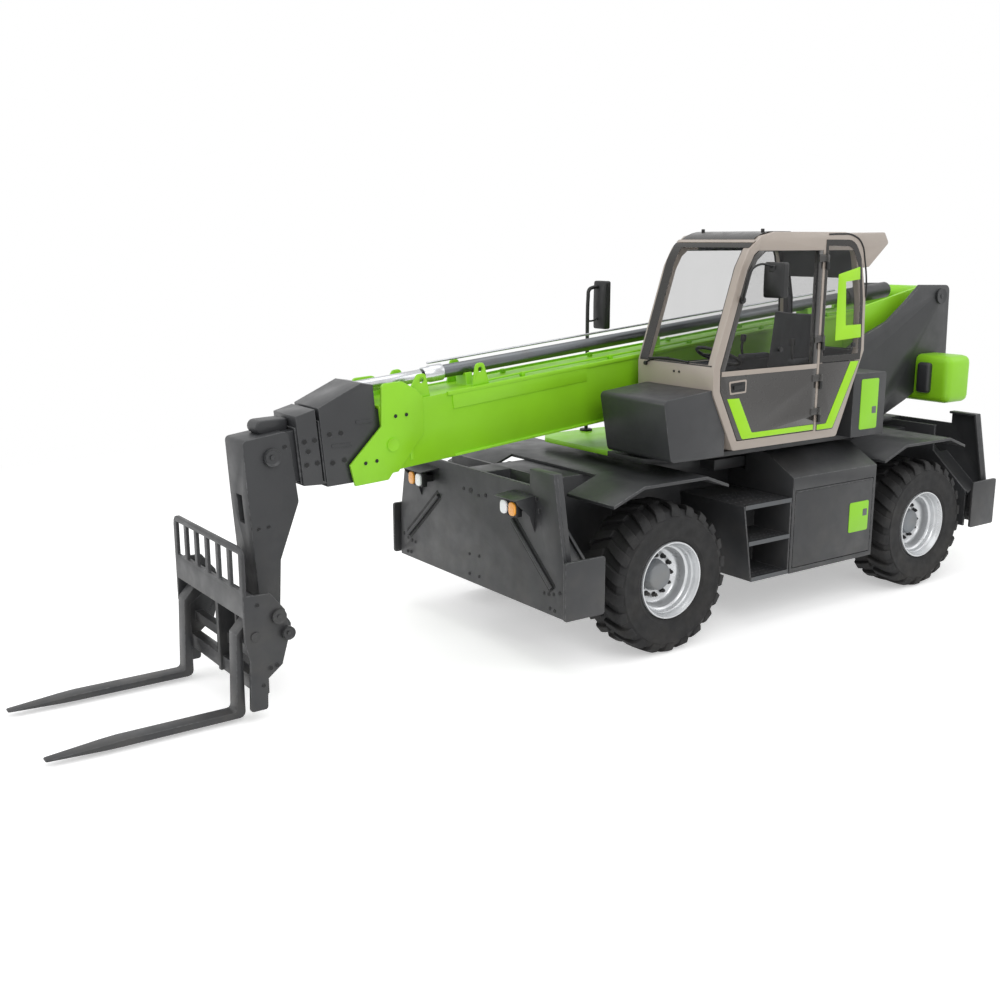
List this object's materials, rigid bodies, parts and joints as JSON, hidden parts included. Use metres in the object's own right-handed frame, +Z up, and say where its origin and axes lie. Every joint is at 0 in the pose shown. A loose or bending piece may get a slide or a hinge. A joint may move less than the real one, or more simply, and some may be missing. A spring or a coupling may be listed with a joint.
{
  "type": "rotating telehandler",
  "caption": "Rotating telescopic handler with forks, a tilting carriage, a slewing cab and boom, steered wheels and four stabiliser legs.",
  "frame": {"origin": "middle of the whole machine's box, on the ground", "axes": "+X forward along the boom, +Y to the machine's left, +Z up"},
  "size_m": [8.8186, 2.58, 3.1378],
  "materials": {
    "dark_paint": "dark grey paint, satin",
    "green_paint": "bright lime green gloss paint",
    "cab_paint": "warm grey-beige gloss paint",
    "steel": "bright ground steel",
    "cast_iron": "black painted casting",
    "rim_paint": "silver wheel paint",
    "tyre": "black rubber",
    "plastic": "black moulded plastic",
    "seat_fabric": "dark grey woven seat cloth",
    "glass": "grey tinted glass"
  },
  "bodies": {
    "chassis": {"chassis_frame": "dark_paint", "front_fenders": "dark_paint", "rear_fenders": "dark_paint", "front_stabiliser_frame": "dark_paint", "rear_stabiliser_frame": "dark_paint", "front_axle": "cast_iron", "rear_axle": "cast_iron", "left_side_box": "dark_paint", "engine_housing": "dark_paint", "engine_block": "cast_iron", "access_steps": "dark_paint"},
    "turret": {"turret_platform": "green_paint", "turret_frame": "dark_paint", "counterweight": "green_paint", "cab_shell": "cab_paint", "cab_roof": "dark_paint", "left_quarter_window": "glass", "right_window": "glass", "windscreen": "glass", "rear_window": "glass", "front_box": "dark_paint", "rear_locker": "dark_paint", "driver_seat": "seat_fabric", "steering_column": "plastic", "right_mirror": "plastic"},
    "cab_door": {"cab_door": "dark_paint", "door_window": "glass", "left_mirror": "plastic"},
    "boom": {"boom_outer_section": "green_paint", "extension_cylinder": "steel"},
    "boom_section_2": {"boom_section_2": "dark_paint"},
    "boom_section_3": {"boom_section_3": "dark_paint"},
    "gooseneck": {"gooseneck": "dark_paint"},
    "lift_barrel": {"lift_cylinder_barrel": "dark_paint"},
    "lift_rod": {"lift_cylinder_rod": "steel"},
    "carriage": {"fork_carriage": "dark_paint", "left_fork": "dark_paint", "right_fork": "dark_paint"},
    "left_box_door": {"left_box_door": "dark_paint"},
    "engine_door": {"engine_door": "dark_paint"},
    "front_left_knuckle": {"front_left_knuckle": "cast_iron"},
    "front_left_wheel": {"front_left_rim": "rim_paint", "front_left_tyre": "tyre"},
    "front_left_leg": {"front_left_stabiliser_leg": "dark_paint"},
    "front_left_foot": {"front_left_stabiliser_foot": "dark_paint"},
    "front_right_knuckle": {"front_right_knuckle": "cast_iron"},
    "front_right_wheel": {"front_right_rim": "rim_paint", "front_right_tyre": "tyre"},
    "front_right_leg": {"front_right_stabiliser_leg": "dark_paint"},
    "front_right_foot": {"front_right_stabiliser_foot": "dark_paint"},
    "rear_left_knuckle": {"rear_left_knuckle": "cast_iron"},
    "rear_left_wheel": {"rear_left_rim": "rim_paint", "rear_left_tyre": "tyre"},
    "rear_left_leg": {"rear_left_stabiliser_leg": "dark_paint"},
    "rear_left_foot": {"rear_left_stabiliser_foot": "dark_paint"},
    "rear_right_knuckle": {"rear_right_knuckle": "cast_iron"},
    "rear_right_wheel": {"rear_right_rim": "rim_paint", "rear_right_tyre": "tyre"},
    "rear_right_leg": {"rear_right_stabiliser_leg": "dark_paint"},
    "rear_right_foot": {"rear_right_stabiliser_foot": "dark_paint"}
  },
  "joints": [
    {"name": "slew", "type": "hinge", "parent": "chassis", "child": "turret", "pos_m": [-1.55074, -0.105, 1.39781], "axis": [0, 0, 1], "continuous": true},
    {"name": "cab_door_hinge", "type": "hinge", "parent": "turret", "child": "cab_door", "pos_m": [-1.58074, 1.013, 2.09781], "axis": [0, 0, 1], "range_deg": [0, 100]},
    {"name": "boom_lift", "type": "hinge", "parent": "turret", "child": "boom", "pos_m": [-4.23574, -0.155, 2.54281], "axis": [0, -1, 0], "range_deg": [0, 70]},
    {"name": "lift_cylinder_swing", "type": "hinge", "parent": "turret", "child": "lift_barrel", "pos_m": [-3.39074, -0.155, 1.55381], "axis": [0, -1, 0], "range_deg": [0, 73]},
    {"name": "lift_cylinder_rod", "type": "slide", "parent": "lift_barrel", "child": "lift_rod", "axis": [0.9991, 0, 0.0421], "range_m": [0, 1.501]},
    {"name": "extend_boom_section_2", "type": "slide", "parent": "boom", "child": "boom_section_2", "axis": [0.9957, 0, -0.0924], "range_m": [0, 4]},
    {"name": "extend_boom_section_3", "type": "slide", "parent": "boom_section_2", "child": "boom_section_3", "axis": [0.9957, 0, -0.0924], "range_m": [0, 4]},
    {"name": "extend_gooseneck", "type": "slide", "parent": "boom_section_3", "child": "gooseneck", "axis": [0.9957, 0, -0.0924], "range_m": [0, 4]},
    {"name": "carriage_tilt", "type": "hinge", "parent": "gooseneck", "child": "carriage", "pos_m": [2.77926, -0.155, 0.57781], "axis": [0, 1, 0], "range_deg": [-15, 75]},
    {"name": "left_box_door_hinge", "type": "hinge", "parent": "chassis", "child": "left_box_door", "pos_m": [-1.85074, 0.979, 1.07581], "axis": [1, 0, 0], "range_deg": [0, 85]},
    {"name": "engine_door_hinge", "type": "hinge", "parent": "chassis", "child": "engine_door", "pos_m": [-1.55074, -1.189, 1.07581], "axis": [-1, 0, 0], "range_deg": [0, 85]},
    {"name": "front_left_steer", "type": "hinge", "parent": "chassis", "child": "front_left_knuckle", "pos_m": [-0.01274, 0.745, 0.57281], "axis": [0, 0, 1], "range_deg": [-30, 30]},
    {"name": "front_left_spin", "type": "hinge", "parent": "front_left_knuckle", "child": "front_left_wheel", "pos_m": [-0.01274, 0.81, 0.57281], "axis": [0, 1, 0], "continuous": true},
    {"name": "front_left_leg_slide", "type": "slide", "parent": "chassis", "child": "front_left_leg", "axis": [0, 0.7559, -0.6547], "range_m": [0, 0.78]},
    {"name": "front_left_foot_turn", "type": "hinge", "parent": "front_left_leg", "child": "front_left_foot", "pos_m": [0.88426, 0.995, 0.59781], "axis": [-1, 0, 0], "range_deg": [0, 90]},
    {"name": "front_right_steer", "type": "hinge", "parent": "chassis", "child": "front_right_knuckle", "pos_m": [-0.01274, -0.955, 0.57281], "axis": [0, 0, 1], "range_deg": [-30, 30]},
    {"name": "front_right_spin", "type": "hinge", "parent": "front_right_knuckle", "child": "front_right_wheel", "pos_m": [-0.01274, -1.02, 0.57281], "axis": [0, 1, 0], "continuous": true},
    {"name": "front_right_leg_slide", "type": "slide", "parent": "chassis", "child": "front_right_leg", "axis": [0, -0.7559, -0.6547], "range_m": [0, 0.78]},
    {"name": "front_right_foot_turn", "type": "hinge", "parent": "front_right_leg", "child": "front_right_foot", "pos_m": [0.88426, -1.205, 0.59781], "axis": [1, 0, 0], "range_deg": [0, 90]},
    {"name": "rear_left_steer", "type": "hinge", "parent": "chassis", "child": "rear_left_knuckle", "pos_m": [-3.08874, 0.745, 0.57281], "axis": [0, 0, 1], "range_deg": [-30, 30]},
    {"name": "rear_left_spin", "type": "hinge", "parent": "rear_left_knuckle", "child": "rear_left_wheel", "pos_m": [-3.08874, 0.81, 0.57281], "axis": [0, 1, 0], "continuous": true},
    {"name": "rear_left_leg_slide", "type": "slide", "parent": "chassis", "child": "rear_left_leg", "axis": [0, 0.7559, -0.6547], "range_m": [0, 0.78]},
    {"name": "rear_left_foot_turn", "type": "hinge", "parent": "rear_left_leg", "child": "rear_left_foot", "pos_m": [-3.91074, 0.995, 0.59781], "axis": [-1, 0, 0], "range_deg": [0, 90]},
    {"name": "rear_right_steer", "type": "hinge", "parent": "chassis", "child": "rear_right_knuckle", "pos_m": [-3.08874, -0.955, 0.57281], "axis": [0, 0, 1], "range_deg": [-30, 30]},
    {"name": "rear_right_spin", "type": "hinge", "parent": "rear_right_knuckle", "child": "rear_right_wheel", "pos_m": [-3.08874, -1.02, 0.57281], "axis": [0, 1, 0], "continuous": true},
    {"name": "rear_right_leg_slide", "type": "slide", "parent": "chassis", "child": "rear_right_leg", "axis": [0, -0.7559, -0.6547], "range_m": [0, 0.78]},
    {"name": "rear_right_foot_turn", "type": "hinge", "parent": "rear_right_leg", "child": "rear_right_foot", "pos_m": [-3.91074, -1.205, 0.59781], "axis": [1, 0, 0], "range_deg": [0, 90]}
  ],
  "couplings": [
    {"joint": "lift_cylinder_swing", "follows": "boom_lift", "ratio": 1.0172},
    {"joint": "lift_cylinder_rod", "follows": "boom_lift", "m_per_rad": 1.2203},
    {"joint": "extend_boom_section_3", "follows": "extend_boom_section_2", "ratio": 1},
    {"joint": "extend_gooseneck", "follows": "extend_boom_section_2", "ratio": 1},
    {"joint": "front_left_foot_turn", "follows": "front_left_leg_slide", "rad_per_m": 2.0137},
    {"joint": "front_right_foot_turn", "follows": "front_right_leg_slide", "rad_per_m": 2.0137},
    {"joint": "front_right_steer", "follows": "front_left_steer", "ratio": 1},
    {"joint": "rear_left_foot_turn", "follows": "rear_left_leg_slide", "rad_per_m": 2.0137},
    {"joint": "rear_right_foot_turn", "follows": "rear_right_leg_slide", "rad_per_m": 2.0137},
    {"joint": "rear_right_steer", "follows": "rear_left_steer", "ratio": 1}
  ]
}
